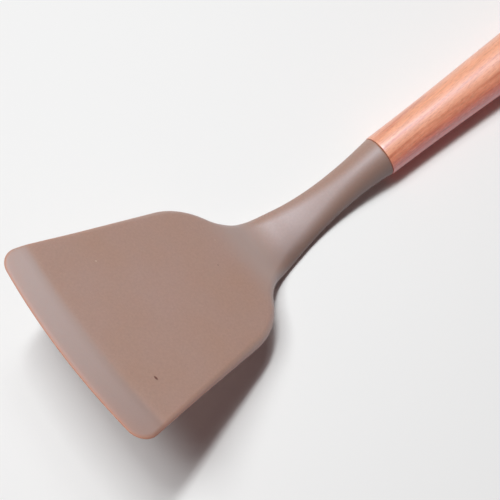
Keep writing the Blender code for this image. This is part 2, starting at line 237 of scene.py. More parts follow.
def band_faces(rings: int, count: int) -> list[tuple[int, ...]]:
    """List the quads between neighbouring closed rings.

    Args:
        rings: Number of rings, numbered one after another.
        count: Points in each ring.

    Returns:
        Corners of each quad.
    """
    faces = []
    for first in range(0, (rings - 1) * count, count):
        for k in range(count):
            following = (k + 1) % count
            faces.append((first + k, first + following, first + count + following, first + count + k))
    return faces


def show(piece: bpy.types.Object, finish: bpy.types.Material, node: Node) -> None:
    """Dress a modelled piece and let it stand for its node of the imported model.

    Args:
        piece: The modelled piece.
        finish: Its material.
        node: The node that it stands for.
    """
    piece.data.materials.clear()
    piece.data.materials.append(finish)
    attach(piece, BODY)
    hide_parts(node.value)
    LOG.info("%s stands for %s, %d faces", piece.name, node.value, len(piece.data.polygons))


@dataclass(frozen=True)
class Fleck:
    """A speck on the blade: its middle, its half sizes, its turn about Z and its tone."""

    middle: tuple[float, float, float]
    half_size: tuple[float, float, float]
    turn: float
    tone: str


@dataclass(frozen=True)
class MouldedSilicone:
    """Food-grade silicone rubber, pressed in a mould.

    To the eye it is a matt taupe skin with a faint mottle. A paler, greyer tone on the bevel and before
    the heel is painted sheen, a darker tone on the neck's right side and the bevel's right corner is
    painted shade, and an orange tone along the slim rim is painted light, for the light that the rim lets
    through.
    """

    warm: str = "b38d78"
    cool: str = "b29185"
    # Painted sheen: a paler, greyer tone for the bevel and for the blade before the heel
    bloom_and_sheen: str = "b39b92"
    # Painted light along the rim: an orange tone for the light that the rim lets through
    painted_glow: str = "c88a6c"
    # Painted shade: a darker tone for the neck's right side and the bevel's right corner
    painted_shade: str = "846556"
    patch: float = 24.0 * MM
    mottle: float = 1.1 * MM
    mottle_depth: float = 0.06
    # The grain of a blasted mould is about a tenth of this: it is drawn coarser so that it shows
    grain: float = 0.4 * MM
    grain_height: float = 0.01 * MM
    roughness: float = 0.52
    gloss_spread: float = 0.05
    rim_dulling: float = 0.3
    shade_dulling: float = 0.17
    ior: float = 1.7
    bloom_sheen: float = 1.0
    sheen_tone: str = "dae9fa"
    powder: float = 0.25
    powder_roughness: float = 0.4
    powder_tone: str = "e8d2c8"
    scatter: float = 0.2
    scatter_depth: float = 2.0 * MM
    scatter_reach: tuple[float, float, float] = (1.0, 0.4, 0.25)
    fleck_edge: tuple[float, float] = (0.6, 1.1)
    flecks: tuple[Fleck, ...] = (
        Fleck(
            (-152.8 * MM, -27.95 * MM, 56.63 * MM), (0.5 * MM, 1.15 * MM, 0.9 * MM), 0.14, "6b3520"
        ),
        Fleck((-142.56 * MM, 26.62 * MM, 50.06 * MM), (0.35 * MM,) * 3, 0.0, "d6c0ae"),
        Fleck((-93.89 * MM, 12.66 * MM, 18.82 * MM), (0.3 * MM,) * 3, 0.0, "c8b2a4"),
        Fleck((-100.58 * MM, 1.77 * MM, 23.11 * MM), (0.35 * MM,) * 3, 0.0, "7c6056"),
    )

    def flecked(
        self,
        tree: bpy.types.NodeTree,
        place: bpy.types.NodeSocket,
        colour: bpy.types.NodeSocket,
    ) -> bpy.types.NodeSocket:
        """Lay the flecks over a colour.

        Args:
            tree: The material's node tree.
            place: Coordinates on the head.
            colour: The colour.

        Returns:
            The colour with the flecks.
        """
        solid, gone = self.fleck_edge
        for fleck in self.flecks:
            around = add_node(
                tree,
                "ShaderNodeMapping",
                {
                    "vector_type": "TEXTURE",
                    "Location": fleck.middle,
                    "Rotation": (0.0, 0.0, fleck.turn),
                    "Scale": fleck.half_size,
                },
                {"Vector": place},
            )
            apart = add_node(tree, "ShaderNodeVectorMath", {"operation": "LENGTH"}, {"Vector": around})
            part = add_node(
                tree,
                "ShaderNodeMapRange",
                {"From Min": solid, "From Max": gone, "To Min": 1.0, "To Max": 0.0},
                {"Value": apart},
            )
            colour = add_node(
                tree,
                "ShaderNodeMix",
                {"data_type": "RGBA", "B": linear(fleck.tone)},
                {"Factor": part, "A": colour},
            )
        return colour

    def material(self) -> bpy.types.Material:
        """Build the rubber: faint patches, a fine mottle, a moulded grain, and painted sheen, shade and
        rim light.

        Returns:
            The material.
        """
        settings = {
            "IOR": self.ior,
            "Specular IOR Level": self.bloom_sheen,
            "Specular Tint": linear(self.sheen_tone),
            "Sheen Weight": self.powder,
            "Sheen Roughness": self.powder_roughness,
            "Sheen Tint": linear(self.powder_tone),
            "Subsurface Weight": self.scatter,
            "Subsurface Radius": self.scatter_reach,
            "Subsurface Scale": self.scatter_depth,
        }
        material, tree, shader = new_material("moulded_taupe_silicone", settings)
        place = add_node(tree, "ShaderNodeTexCoord", output="Object")
        patches = add_node(
            tree, "ShaderNodeTexNoise", {"Scale": 1.0 / self.patch, "Detail": 2.0}, {"Vector": place}
        )
        tone = add_node(
            tree,
            "ShaderNodeMix",
            {"data_type": "RGBA", "A": linear(self.warm), "B": linear(self.cool)},
            {"Factor": patches},
        )
        mottle = add_node(
            tree,
            "ShaderNodeTexNoise",
            {"Scale": 1.0 / self.mottle, "Detail": 4.0, "Roughness": 0.65},
            {"Vector": place},
        )
        shade = add_node(
            tree,
            "ShaderNodeMapRange",
            {
                "From Min": NOISE_LOW,
                "From Max": NOISE_HIGH,
                "To Min": 1.0 - self.mottle_depth,
                "To Max": 1.0 + self.mottle_depth,
            },
            {"Value": mottle},
        )
        colour = add_node(
            tree, "ShaderNodeVectorMath", {"operation": "SCALE"}, {"Vector": tone, "Scale": shade}
        )
        # Masks of the painted rim light, the painted shade and the painted sheen, laid over the tone
        glow_mask, painted_shade, bloom_and_sheen = [
            add_node(tree, "ShaderNodeAttribute", {"attribute_name": layer}, output="Fac")
            for layer in (PAINTED_GLOW_LAYER, PAINTED_SHADE_LAYER, PAINTED_SHEEN_LAYER)
        ]
        for tint, part in ((self.bloom_and_sheen, bloom_and_sheen), (self.painted_shade, painted_shade), (self.painted_glow, glow_mask)):
            colour = add_node(
                tree,
                "ShaderNodeMix",
                {"data_type": "RGBA", "B": linear(tint)},
                {"Factor": part, "A": colour},
            )
        gloss = add_node(
            tree,
            "ShaderNodeMapRange",
            {"To Min": self.roughness - self.gloss_spread, "To Max": self.roughness + self.gloss_spread},
            {"Value": patches},
        )
        for part, dulling in ((glow_mask, self.rim_dulling), (painted_shade, self.shade_dulling)):
            gloss = add_node(
                tree, "ShaderNodeMath", {"operation": "MULTIPLY_ADD", 1: dulling}, {0: part, 2: gloss}
            )
        grain = add_node(
            tree,
            "ShaderNodeTexNoise",
            {"Scale": 1.0 / self.grain, "Detail": 3.0, "Roughness": 0.6},
            {"Vector": place},
        )
        relief = add_node(tree, "ShaderNodeBump", {"Distance": self.grain_height}, {"Height": grain})
        tree.links.new(self.flecked(tree, place, colour), shader.inputs["Base Color"])
        tree.links.new(gloss, shader.inputs["Roughness"])
        tree.links.new(relief, shader.inputs["Normal"])
        return material


@dataclass(frozen=True)
class Pattern:
    """Size of a pattern in the wood, across and along its fibres."""

    across: float
    along: float

    @property
    def scale(self) -> tuple[float, float, float]:
        """Repeats of the pattern for each metre along the fibres and across them."""
        return 1.0 / self.along, 1.0 / self.across, 1.0 / self.across


@dataclass(frozen=True)
class Marks:
    """Marks scattered in the wood, such as pores: their tone, their size and how strongly they show.

    The fade holds how far from its middle a mark starts to fade and is gone, as parts of its size.
    """

    tone: str
    size: Pattern
    fade: tuple[float, float]
    strength: float

    def scatter(self, tree: bpy.types.NodeTree, grain: bpy.types.NodeSocket) -> bpy.types.NodeSocket:
        """Scatter the marks along the grain.

        Args:
            tree: The material's node tree.
            grain: Coordinates along and across the grain.

        Returns:
            The strength in the marks, 0 between them.
        """
        place = add_node(tree, "ShaderNodeMapping", {"Scale": self.size.scale}, {"Vector": grain})
        apart = add_node(tree, "ShaderNodeTexVoronoi", {"Scale": 1.0}, {"Vector": place}, "Distance")
        start, end = self.fade
        levels = {"From Min": start, "From Max": end, "To Min": self.strength, "To Max": 0.0}
        return add_node(tree, "ShaderNodeMapRange", levels, {"Value": apart})


@dataclass(frozen=True)
class OiledBeech:
    """Steamed beech, turned, sanded and oiled.

    To the eye it is orange-pink wood with slanting dark rings, short pale rays and darker pores, and the
    oil gives it a satin light that the fibres break into streaks. A darker, redder tone near the pith,
    which lies below the handle on its -Y side, is painted shade on the side that faces the table.
    """

    # The wood's own tone, and a darker, redder tone of painted shade near the pith
    base_wood: str = "ffb38b"
    painted_shade_wood: str = "ea5d34"
    ring_tone: str = "c65228"
    # The rings circle the pith, which lies below the handle on its -Y side, where the painted shade falls
    pith: tuple[float, float, float] = (0.0, -15.0 * MM, 0.0)
    slant: float = math.radians(4.0)
    # The painted shade is full up to the first distance from the pith and gone at the second
    shade_full_reach: float = 14.0 * MM
    shade_end_reach: float = 26.0 * MM
    ring: float = 3.2 * MM
    # A dark line rises over the last part of half a ring, and fades in and out between these strengths
    line_start: float = 0.26
    line_strength: tuple[float, float] = (0.05, 0.6)
    line_fade: tuple[float, float] = (0.35, 0.7)
    waves: Pattern = Pattern(9.0 * MM, 45.0 * MM)
    wave_height: float = 3.6 * MM
    # Beech fibres and pores are finer than a tenth of these: they are drawn coarser so that they show
    fibres: Pattern = Pattern(0.8 * MM, 9.0 * MM)
    pores: Marks = Marks("b4502c", Pattern(0.5 * MM, 3.0 * MM), (0.15, 0.4), 0.3)
    rays: Marks = Marks("ffc9a8", Pattern(0.9 * MM, 2.4 * MM), (0.1, 0.5), 0.25)
    streak: tuple[float, float] = (0.89, 1.14)
    relief: float = 0.01 * MM
    roughness: float = 0.5
    gloss_spread: float = 0.09
    ior: float = 1.68
    oil_sheen: float = 1.0
    sheen_tone: str = "bcdcff"
    oil: float = 1.0
    oil_roughness: float = 0.34

    def rings(
        self,
        tree: bpy.types.NodeTree,
        grain: bpy.types.NodeSocket,
        depth: bpy.types.NodeSocket,
    ) -> bpy.types.NodeSocket:
        """Find where the dark latewood lines run.

        Args:
            tree: The material's node tree.
            grain: Coordinates along and across the grain.
            depth: Distance from the pith.

        Returns:
            The strength on the lines, 0 between them.
        """
        wavy = add_node(tree, "ShaderNodeMapping", {"Scale": self.waves.scale}, {"Vector": grain})
        waves = add_node(tree, "ShaderNodeTexNoise", {"Scale": 1.0, "Detail": 2.0}, {"Vector": wavy})
        count = add_node(
            tree, "ShaderNodeMath", {"operation": "MULTIPLY", 1: 1.0 / self.ring}, {0: depth}
        )
        turn = add_node(
            tree,
            "ShaderNodeMath",
            {"operation": "MULTIPLY_ADD", 1: self.wave_height / self.ring},
            {0: waves, 2: count},
        )
        half_ring = 0.5
        place = add_node(tree, "ShaderNodeMath", {"operation": "PINGPONG", 1: half_ring}, {0: turn})
        line = add_node(
            tree,
            "ShaderNodeMapRange",
            {"interpolation_type": "SMOOTHSTEP", "From Min": self.line_start, "From Max": half_ring},
            {"Value": place},
        )
        stretch = Pattern(self.ring, self.waves.along).scale
        long = add_node(tree, "ShaderNodeMapping", {"Scale": stretch}, {"Vector": grain})
        fading = add_node(tree, "ShaderNodeTexNoise", {"Scale": 1.0, "Detail": 1.0}, {"Vector": long})
        (start, end), (weak, strong) = self.line_fade, self.line_strength
        strength = add_node(
            tree,
            "ShaderNodeMapRange",
            {"From Min": start, "From Max": end, "To Min": weak, "To Max": strong},
            {"Value": fading},
        )
        return add_node(tree, "ShaderNodeMath", {"operation": "MULTIPLY"}, {0: line, 1: strength})

    def material(self) -> bpy.types.Material:
        """Build the wood: its tones laid one over another, painted shade first, fibre streaks and relief,
        and oil.

        Returns:
            The material.
        """
        settings = {
            "IOR": self.ior,
            "Specular IOR Level": self.oil_sheen,
            "Specular Tint": linear(self.sheen_tone),
            "Coat Weight": self.oil,
            "Coat Roughness": self.oil_roughness,
        }
        material, tree, shader = new_material("oiled_steamed_beech", settings)
        place = add_node(tree, "ShaderNodeTexCoord", output="Object")
        grain = add_node(
            tree,
            "ShaderNodeMapping",
            {"vector_type": "TEXTURE", "Location": self.pith, "Rotation": (0.0, 0.0, self.slant)},
            {"Vector": place},
        )
        across = add_node(tree, "ShaderNodeMapping", {"Scale": (0.0, 1.0, 1.0)}, {"Vector": grain})
        depth = add_node(tree, "ShaderNodeVectorMath", {"operation": "LENGTH"}, {"Vector": across})
        # Painted shade: darker and redder near the pith, on the handle's lower -Y side
        wood_shade = add_node(
            tree,
            "ShaderNodeMapRange",
            {
                "interpolation_type": "SMOOTHSTEP",
                "From Min": self.shade_full_reach,
                "From Max": self.shade_end_reach,
                "To Min": 1.0,
                "To Max": 0.0,
            },
            {"Value": depth},
        )
        colour = add_node(tree, "ShaderNodeRGB")
        colour.default_value = linear(self.base_wood)
        for tint, part in (
            (self.painted_shade_wood, wood_shade),
            (self.ring_tone, self.rings(tree, grain, depth)),
            (self.rays.tone, self.rays.scatter(tree, grain)),
            (self.pores.tone, self.pores.scatter(tree, grain)),
        ):
            colour = add_node(
                tree,
                "ShaderNodeMix",
                {"data_type": "RGBA", "B": linear(tint)},
                {"Factor": part, "A": colour},
            )
        fine = add_node(tree, "ShaderNodeMapping", {"Scale": self.fibres.scale}, {"Vector": grain})
        fibres = add_node(
            tree,
            "ShaderNodeTexNoise",
            {"Scale": 1.0, "Detail": 3.0, "Roughness": 0.6},
            {"Vector": fine},
        )
        dark, light = self.streak
        streak = add_node(
            tree,
            "ShaderNodeMapRange",
            {"From Min": NOISE_LOW, "From Max": NOISE_HIGH, "To Min": dark, "To Max": light},
            {"Value": fibres},
        )
        streaked = add_node(
            tree, "ShaderNodeVectorMath", {"operation": "SCALE"}, {"Vector": colour, "Scale": streak}
        )
        gloss = add_node(
            tree,
            "ShaderNodeMapRange",
            {"To Min": self.roughness - self.gloss_spread, "To Max": self.roughness + self.gloss_spread},
            {"Value": fibres},
        )
        relief = add_node(tree, "ShaderNodeBump", {"Distance": self.relief}, {"Height": fibres})
        tree.links.new(streaked, shader.inputs["Base Color"])
        tree.links.new(gloss, shader.inputs["Roughness"])
        tree.links.new(relief, shader.inputs["Normal"])
        return material


@dataclass(frozen=True)
class MouldedNylon:
    """Glass-filled nylon, moulded: to the eye a dull black with a fine grey streaky bloom."""

    black: str = "2a2a2b"
    bloom_and_sheen: str = "3a3a3b"
    # The glass fibres are far finer than this: their streaks are drawn coarser so that they show
    streak: float = 0.6 * MM
    relief: float = 0.02 * MM
    roughness: float = 0.5

    def material(self) -> bpy.types.Material:
        """Build the nylon: black with a streaky grey bloom and a fine grain.

        Returns:
            The material.
        """
        material, tree, shader = new_material("moulded_black_nylon", {"Roughness": self.roughness})
        place = add_node(tree, "ShaderNodeTexCoord", output="Object")
        bloom_and_sheen = add_node(
            tree, "ShaderNodeTexNoise", {"Scale": 1.0 / self.streak, "Detail": 4.0}, {"Vector": place}
        )
        tone = add_node(
            tree,
            "ShaderNodeMix",
            {"data_type": "RGBA", "A": linear(self.black), "B": linear(self.bloom_and_sheen)},
            {"Factor": bloom_and_sheen},
        )
        relief = add_node(tree, "ShaderNodeBump", {"Distance": self.relief}, {"Height": bloom_and_sheen})
        tree.links.new(tone, shader.inputs["Base Color"])
        tree.links.new(relief, shader.inputs["Normal"])
        return material


@dataclass(frozen=True)
class CuredEpoxy:
    """Two-part epoxy, cured in the joint: to the eye a glossy amber with darker swirls from mixing."""

    amber: str = "cfa968"
    swirl_tone: str = "b3894a"
    swirl: float = 3.0 * MM
    roughness: float = 0.25

    def material(self) -> bpy.types.Material:
        """Build the glue: amber with mixing swirls under a gloss.

        Returns:
            The material.
        """
        material, tree, shader = new_material("cured_amber_epoxy", {"Roughness": self.roughness})
        place = add_node(tree, "ShaderNodeTexCoord", output="Object")
        swirls = add_node(
            tree,
            "ShaderNodeTexNoise",
            {"Scale": 1.0 / self.swirl, "Detail": 2.0, "Distortion": 2.0},
            {"Vector": place},
        )
        tone = add_node(
            tree,
            "ShaderNodeMix",
            {"data_type": "RGBA", "A": linear(self.amber), "B": linear(self.swirl_tone)},
            {"Factor": swirls},
        )
        tree.links.new(tone, shader.inputs["Base Color"])
        return material


@dataclass(frozen=True)
class PaleTabletop:
    """Pale laminate, pressed smooth: to the eye one even tone that keeps the turner's shadow."""

    pale: str = "f0f0f0"
    roughness: float = 0.6

    def material(self) -> bpy.types.Material:
        """Build the table: one pale tone that keeps the shadow.

        Returns:
            The material.
        """
        settings = {"Base Color": linear(self.pale), "Roughness": self.roughness}
        return new_material("pale_laminate", settings)[0]


@dataclass(frozen=True)
class BeechHandle:
    """The turned handle: its profile, its bore for the tang and its hanging hole."""

    seam_step: float = 0.25 * MM
    length: float = 186.0 * MM
    belly_radius: float = 12.6 * MM
    belly_to_end: float = 58.0 * MM
    butt_radius: float = 11.2 * MM
    butt_dome: float = 9.0 * MM
    front_round: float = 0.35 * MM
    bore_radius: float = 6.3 * MM
    bore_depth: float = 39.3 * MM
    seam_gap: float = 0.3 * MM
    hole_radius: float = 4.0 * MM
    hole_to_end: float = 14.0 * MM
    hole_round: float = 0.6 * MM
    sides: int = 96
    ring_spacing: float = 1.5 * MM
    dome_rings: int = 16
    front_rings: int = 4
    sharp_angle: float = math.radians(50.0)
    slope_places: int = 400
    # The pin that cuts the hole, and how far it spreads and rises beyond the handle's surface
    pin_sides: int = 64
    pin_rings: int = 6
    pin_spread: float = 3.0 * MM
    pin_rise: float = 1.8 * MM

    def radius(self, out: np.ndarray, seam_radius: float) -> np.ndarray:
        """Find the handle's radius at distances from the seam.

        Args:
            out: Distances from the seam towards the butt.
            seam_radius: Radius of the neck at the seam.

        Returns:
            The radii.
        """
        belly = self.length - self.belly_to_end
        dome = self.length - self.butt_dome
        front = seam_radius + self.seam_step
        swell = np.sin(math.pi / 2.0 * np.clip(out / belly, 0.0, 1.0)) ** 2
        rise = between(front, self.belly_radius, swell)
        fall = between(self.belly_radius, self.butt_radius, ease((out - belly) / (dome - belly)))
        tip = np.clip((out - dome) / self.butt_dome, 0.0, 1.0)
        return np.where(out <= belly, rise, fall * np.sqrt(1.0 - tip * tip))

    def slope(self, seam_radius: float, seam_height: float) -> float:
        """Find the rise of the axis along X that lays the belly on the table.

        Args:
            seam_radius: Radius of the neck at the seam.
            seam_height: Height of the seam's middle over the table.

        Returns:
            Rise for each metre along X.
        """
        out = np.linspace(self.length / self.slope_places, self.length, self.slope_places)
        return float(((self.radius(out, seam_radius) - seam_height) / out).max())

    def profile(self, seam_radius: float) -> list[tuple[float, float]]:
        """List the turned profile from the butt's tip along the outside and into the bore.

        Args:
            seam_radius: Radius of the neck at the seam.

        Returns:
            Pairs of distance from the seam and radius.
        """
        dome = self.length - self.butt_dome
        quarter = np.linspace(0.0, math.pi / 2.0, self.dome_rings + 1)[1:]
        tip = dome + self.butt_dome * np.cos(quarter)
        first = self.seam_gap + self.front_round
        body = np.linspace(dome, first, int(dome / self.ring_spacing))[1:]
        outs = np.concatenate([tip, body])
        points = list(zip(outs.tolist(), self.radius(outs, seam_radius).tolist()))
        edge = float(self.radius(np.array(first), seam_radius)) - self.front_round
        for angle in np.linspace(0.0, math.pi / 2.0, self.front_rings + 1)[1:]:
            out = first - self.front_round * math.sin(angle)
            points.append((out, edge + self.front_round * math.cos(angle)))
        points.append((self.seam_gap, self.bore_radius))
        points.append((self.bore_depth, self.bore_radius))
        return points

    def hole_pin(self, axis: "HandleAxis", seam_radius: float) -> bpy.types.Object:
        """Make the cutting pin of the hanging hole, flared so that the hole's lips are rounded.

        Args:
            axis: The handle's axis.
            seam_radius: Radius of the neck at the seam.

        Returns:
            The pin.
        """
        angles = np.linspace(0.0, 2.0 * math.pi, self.pin_sides, endpoint=False)
        centre = axis.point(self.length - self.hole_to_end)
        outs = self.length - self.hole_to_end + self.hole_radius * np.cos(angles)
        across = self.hole_radius * np.sin(angles)
        surface = np.sqrt(self.radius(outs, seam_radius) ** 2 - across ** 2)
        flare = np.linspace(0.0, math.pi / 2.0, self.pin_rings + 1)
        grow = self.hole_round * (1.0 - np.cos(flare))
        lift = self.hole_round * (np.sin(flare) - 1.0)
        steps = list(zip(grow, lift)) + [(self.pin_spread, self.pin_rise)]
        rings = []
        for level in (-1.0, 1.0):
            for wider, higher in steps if level > 0.0 else reversed(steps):
                ring = np.stack(
                    [
                        centre.x + (self.hole_radius + wider) * np.cos(angles),
                        (self.hole_radius + wider) * np.sin(angles),
                        centre.z + level * (surface + higher),
                    ],
                    axis=1,
                )
                rings.append(ring)
        faces = band_faces(len(rings), self.pin_sides)
        last = (len(rings) - 1) * self.pin_sides
        faces += [tuple(range(self.pin_sides)), tuple(range(last, last + self.pin_sides))]
        return new_piece("hanging_hole_pin", np.concatenate(rings), faces)

    def model(self, axis: "HandleAxis", seam_radius: float) -> bpy.types.Object:
        """Turn the handle and pierce it.

        Args:
            axis: The handle's axis.
            seam_radius: Radius of the neck at the seam.

        Returns:
            The handle.
        """
        angles = np.linspace(0.0, 2.0 * math.pi, self.sides, endpoint=False)
        rings = [axis.ring(out, radius, angles) for out, radius in self.profile(seam_radius)]
        faces = band_faces(len(rings), self.sides)
        last = len(rings) * self.sides
        tip, floor = axis.point(self.length), axis.point(self.bore_depth)
        for k in range(self.sides):
            following = (k + 1) % self.sides
            faces.append((last, k, following))
            faces.append((last + 1, last - self.sides + following, last - self.sides + k))
        points = np.concatenate(rings + [np.array([tip, floor])])
        handle = new_piece("turned_handle", points, faces)
        pin = self.hole_pin(axis, seam_radius)
        cut = handle.modifiers.new("hanging_hole", "BOOLEAN")
        cut.operation = "DIFFERENCE"
        cut.solver = "EXACT"
        cut.object = pin
        graph = bpy.context.evaluated_depsgraph_get()
        pierced = bpy.data.meshes.new_from_object(handle.evaluated_get(graph))
        handle.modifiers.clear()
        handle.data = pierced
        bpy.data.objects.remove(pin)
        pierced.set_sharp_from_angle(angle=self.sharp_angle)
        return handle

    def build(self, axis: "HandleAxis", seam_radius: float) -> None:
        """Model the handle and dress it in oiled beech."""
        show(self.model(axis, seam_radius), OiledBeech().material(), Node.HANDLE)


class HandleAxis:
    """The straight line that the handle is turned about."""

    def __init__(self, seam: Vector, slope: float) -> None:
        """Keep the seam's middle and the axis's direction.

        Args:
            seam: Middle of the seam.
            slope: Rise for each metre along X.
        """
        self.seam = seam
        self.along = Vector((1.0, 0.0, slope)).normalized()
        self.up = Vector((-slope, 0.0, 1.0)).normalized()

    def point(self, out: float) -> Vector:
        """Point on the axis, at a distance from the seam."""
        return self.seam + self.along * out

    def ring(self, out: float, radius: float, angles: np.ndarray) -> np.ndarray:
        """Place a round ring square to the axis.

        Args:
            out: Distance from the seam.
            radius: Radius of the ring.
            angles: Angles of its points, from +Y up.

        Returns:
            Its points, one row each.
        """
        side = np.outer(np.cos(angles), (0.0, 1.0, 0.0)) + np.outer(np.sin(angles), self.up)
        return np.array(self.point(out)) + radius * side


@dataclass(frozen=True)
class SiliconeHead:
    """The silicone head: a tilted blade with a bevelled front, round shoulders and a slim neck.

    Its left is towards +Y, as in the picture.
    """

    width: float = 95.5 * MM
    length: float = 126.0 * MM
    tilt: float = math.radians(33.6)
    taper: float = math.radians(7.5)
    corner: float = 8.4 * MM
    bow: float = 4.2 * MM
    bow_reach: float = 40.0 * MM
    front_thickness: float = 3.6 * MM
    heel_thickness: float = 7.6 * MM
    bevel: float = 12.5 * MM
    edge_thickness: float = 1.1 * MM
    crease_round: float = 3.4 * MM
    rim_round: float = 1.6 * MM
    shoulder_round: float = 4.0 * MM
    neck_round: float = 6.5 * MM
    heel_to_dome: float = 10.0 * MM
    under_round: float = 1.2 * MM
    neck_under_round: float = 4.0 * MM
    shoulder_to_root: float = 13.3 * MM
    shoulder_radius: float = 30.8 * MM
    root_to_heel: float = 20.1 * MM
    root_half_width: float = 17.5 * MM
    root_radius: float = 23.8 * MM
    heel_to_waist: float = 30.8 * MM
    waist_half_width: float = 6.25 * MM
    waist_radius: float = 158.0 * MM
    bend_radius: float = 30.0 * MM
    heel_flat: float = 4.0 * MM
    neck_length: float = 58.1 * MM
    neck_swell: float = 1.7
    seam_radius: float = 9.7 * MM
    seam_clearance: float = 1.45 * MM
    end_round: float = 0.15 * MM
    # The rim's painted orange light falls by this power of e over its width, and gets weaker along the
    # blade from this share of the way to the shoulders' corner on
    glow_width: float = 2.6 * MM
    glow_fall: float = 3.0
    glow_start: float = 0.2
    # Shares of the full painted sheen and painted shade, which the bevel's left and the neck's right side
    # have. A share above 1 is full sooner
    right_sheen: float = 0.35
    heel_sheen: float = 1.25
    corner_shade: float = 0.6
    left_shade: float = 0.05
    # The mesh: points of half a ring, the share of them that follow the turn of the edge and not its
    # length, steps of the roundings, and the rings' spacings on the bevel, the blade and the neck
    half_points: int = 64
    turn_share: float = 0.55
    arc_steps: int = 24
    edge_steps: int = 32
    rim_rings: int = 10
    corner_rings: int = 32
    bevel_ring: float = 0.5 * MM
    blade_ring: float = 2.0 * MM
    neck_ring: float = 0.7 * MM
    least_ring: float = 0.01 * MM
    least_slant_run: float = 0.02
    crease_reach: float = 4.0 * MM
    shoulder_reach: float = 22.0 * MM

    @property
    def seam(self) -> float:
        """Distance from the front edge to the seam, along the middle."""
        return self.length + self.neck_length

    @property
    def shoulder(self) -> float:
        """Distance from the front edge to the shoulders' corner."""
        return self.length - self.root_to_heel - self.shoulder_to_root

    @property
    def seam_height(self) -> float:
        """Height of the seam's middle over the table."""
        return self.seam_radius + self.seam_clearance

    def outline(self) -> np.ndarray:
        """List the outline as distance from the front edge and half width, its corners rounded.

        Returns:
            Points of the outline, one row each.
        """
        corners = np.array(
            [
                (0.0, self.width / 2.0),
                (self.shoulder, self.width / 2.0 - self.shoulder * math.tan(self.taper)),
                (self.length - self.root_to_heel, self.root_half_width),
                (self.length + self.heel_to_waist, self.waist_half_width),
                (self.seam, self.seam_radius),
            ]
        )
        radii = (self.shoulder_radius, self.root_radius, self.waist_radius)
        points = [corners[0]]
        for before, here, after, radius in zip(corners, corners[1:], corners[2:], radii):
            into = (here - before) / np.linalg.norm(here - before)
            away = (after - here) / np.linalg.norm(after - here)
            turn = math.atan2(into[0] * away[1] - into[1] * away[0], float(into @ away))
            tangent = radius * math.tan(abs(turn) / 2.0)
            square = np.array((-into[1], into[0])) * math.copysign(1.0, turn)
            for part in np.linspace(0.0, abs(turn), self.arc_steps + 1):
                reach = into * math.sin(part) + square * (1.0 - math.cos(part))
                points.append(here - into * tangent + reach * radius)
        points.append(corners[-1])
        return np.array(points)

    def side_width(self, along: Any) -> Any:
        """Find the half width, with the front corners square.

        Args:
            along: Distances from the front edge, or one of them.

        Returns:
            The half widths.
        """
        outline = self.outline()
        run, narrowing = outline[1] - outline[0]
        before = outline[0][1] + narrowing / run * along
        return np.where(along < 0.0, before, np.interp(along, outline[:, 0], outline[:, 1]))

    def widening(self, along: float) -> float:
        """Find how much longer than square to the outline a distance across the head is.

        Args:
            along: Distance from the front edge.

        Returns:
            Length across for each metre square to the outline.
        """
        step = 1.5 * MM
        slope = (self.side_width(along + step) - self.side_width(along - step)) / (2.0 * step)
        return math.sqrt(1.0 + float(slope) ** 2)

    def rim_distance(self, along: float, across: np.ndarray) -> np.ndarray:
        """Find how far points lie in from the outline, square to it.

        Args:
            along: Distance from the front edge.
            across: Distances from the middle.

        Returns:
            The distances, 0 on the outline.
        """
        side = (self.side_width(along) - np.abs(across)) / self.widening(along)
        corner = self.corner - np.hypot(self.corner - side, self.corner - along)
        square = np.minimum(side, along)
        in_corner = (side < self.corner) & (along < self.corner)
        return np.maximum(np.where(in_corner, corner, square), 0.0)

    def half_thickness(self, along: np.ndarray) -> np.ndarray:
        """Find the half thickness before the front is bevelled.

        Args:
            along: Distances from the front edge.

        Returns:
            The half thicknesses.
        """
        front, heel = self.front_thickness / 2.0, self.heel_thickness / 2.0
        blade = between(front, heel, np.clip(along / self.length, 0.0, 1.0))
        run = (along - self.length - self.heel_flat) / (self.neck_length - self.heel_flat)
        neck = between(heel, self.seam_radius, np.clip(run, 0.0, 1.0) ** self.neck_swell)
        return np.where(along <= self.length, blade, neck)

    def bowed(self, along: float, across: np.ndarray) -> np.ndarray:
        """How far points lie behind the middle of the bowed front edge."""
        reach = max(1.0 - along / self.bow_reach, 0.0)
        return self.bow * (across / (self.width / 2.0)) ** 2 * reach

    def faces(self, along: float, across: np.ndarray) -> tuple[np.ndarray, np.ndarray]:
        """Find the heights of the top and bottom faces over the spine, before their edges are rounded.

        Args:
            along: Distance from the front edge.
            across: Distances from the middle.

        Returns:
            Heights of the top and of the bottom.
        """
        top = self.half_thickness(along + self.bowed(along, across))
        bottom = -top
        lip = -self.half_thickness(self.bowed(0.0, across)) + self.edge_thickness
        crease = self.half_thickness(self.bevel + self.bowed(self.bevel, across))
        bevel = lip + (crease - lip) * along / self.bevel
        # The lower of the bevel and the top, with the crease between them rounded
        blend = (crease - lip) / self.bevel * self.crease_round
        near = np.maximum(blend - np.abs(bevel - top), 0.0)
        return np.minimum(bevel, top) - near * near / (4.0 * blend), bottom

    def edge_rounds(self, along: float) -> tuple[float, float]:
        """Find the radii that round the edges, square to the outline.

        Args:
            along: Distance from the front edge.

        Returns:
            Radius of the top edge and of the bottom edge.
        """
        root = self.length - self.root_to_heel
        neck = float(ease((along - root) / (self.root_to_heel + self.heel_to_dome)))
        rest = self.neck_length - self.heel_to_dome
        tail = min(max((along - self.length - self.heel_to_dome) / rest, 0.0), 1.0)
        part = min(max(along / self.shoulder, 0.0), 1.0)
        blade = between(self.rim_round, self.shoulder_round, part)
        top = between(between(blade, self.neck_round, neck), self.seam_radius, tail)
        under = between(self.under_round, self.neck_under_round, neck)
        return top, between(under, self.seam_radius, float(ease(tail)))

